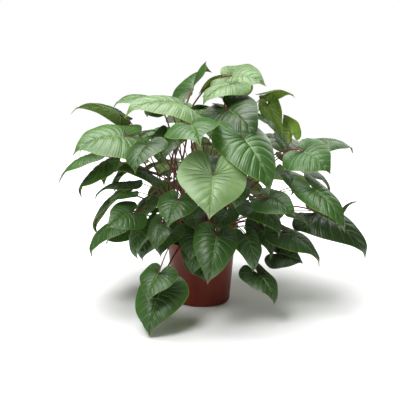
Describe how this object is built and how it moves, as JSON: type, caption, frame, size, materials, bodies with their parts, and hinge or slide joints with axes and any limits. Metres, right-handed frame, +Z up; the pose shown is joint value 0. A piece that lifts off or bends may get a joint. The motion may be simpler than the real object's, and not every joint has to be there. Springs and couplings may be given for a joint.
{
  "type": "potted homalomena plant",
  "caption": "Bushy houseplant with large heart-shaped, arching leaves on dark red stalks, rising from a clump of rhizomes in a round brown-red nursery pot of soil.",
  "frame": {"origin": "centre of the pot's flat underside, where it stands", "axes": "+Z up along the pot's axis; -Y towards the plant's show side, +X to the right seen from there"},
  "size_m": [0.9305, 0.798, 0.7353],
  "materials": {
    "pot": "brown-red moulded plastic with a soft sheen",
    "soil": "moist, dark peat and bark potting mix",
    "stalk": "dark red fibrous stalk bases and rhizome, smooth above",
    "leaf": "glossy deep green upper side, paler and duller underside, pale veins and margin"
  },
  "bodies": {
    "root": {"pot": "pot", "soil": "soil", "crown": "stalk", "leaf_front_1": "leaf", "leaf_front_2": "leaf", "leaf_front_3": "leaf", "leaf_front_4": "leaf", "leaf_front_5": "leaf", "leaf_front_6": "leaf", "leaf_left_1": "leaf", "leaf_left_2": "leaf", "leaf_left_3": "leaf", "leaf_left_4": "leaf", "leaf_left_5": "leaf", "leaf_left_6": "leaf", "leaf_left_7": "leaf", "leaf_left_8": "leaf", "leaf_left_9": "leaf", "leaf_left_10": "leaf", "leaf_left_11": "leaf", "leaf_left_12": "leaf", "leaf_low_1": "leaf", "leaf_low_2": "leaf", "leaf_low_3": "leaf", "leaf_low_4": "leaf", "leaf_low_5": "leaf", "leaf_low_6": "leaf", "leaf_right_1": "leaf", "leaf_right_2": "leaf", "leaf_right_3": "leaf", "leaf_right_4": "leaf", "leaf_right_5": "leaf", "leaf_right_6": "leaf", "leaf_right_7": "leaf", "leaf_right_8": "leaf", "leaf_top_1": "leaf", "leaf_top_2": "leaf", "leaf_top_3": "leaf", "leaf_top_4": "leaf", "leaf_top_5": "leaf", "leaf_back_1": "leaf", "leaf_back_2": "leaf", "leaf_back_3": "leaf", "leaf_back_4": "leaf", "leaf_back_5": "leaf", "leaf_back_6": "leaf", "leaf_back_7": "leaf", "leaf_back_8": "leaf", "leaf_back_9": "leaf", "leaf_back_10": "leaf", "leaf_back_11": "leaf", "leaf_back_12": "leaf", "leaf_back_13": "leaf", "leaf_back_14": "leaf", "leaf_back_15": "leaf", "leaf_back_16": "leaf", "leaf_back_17": "leaf", "leaf_back_18": "leaf", "leaf_back_19": "leaf", "leaf_back_20": "leaf"}
  },
  "joints": []
}
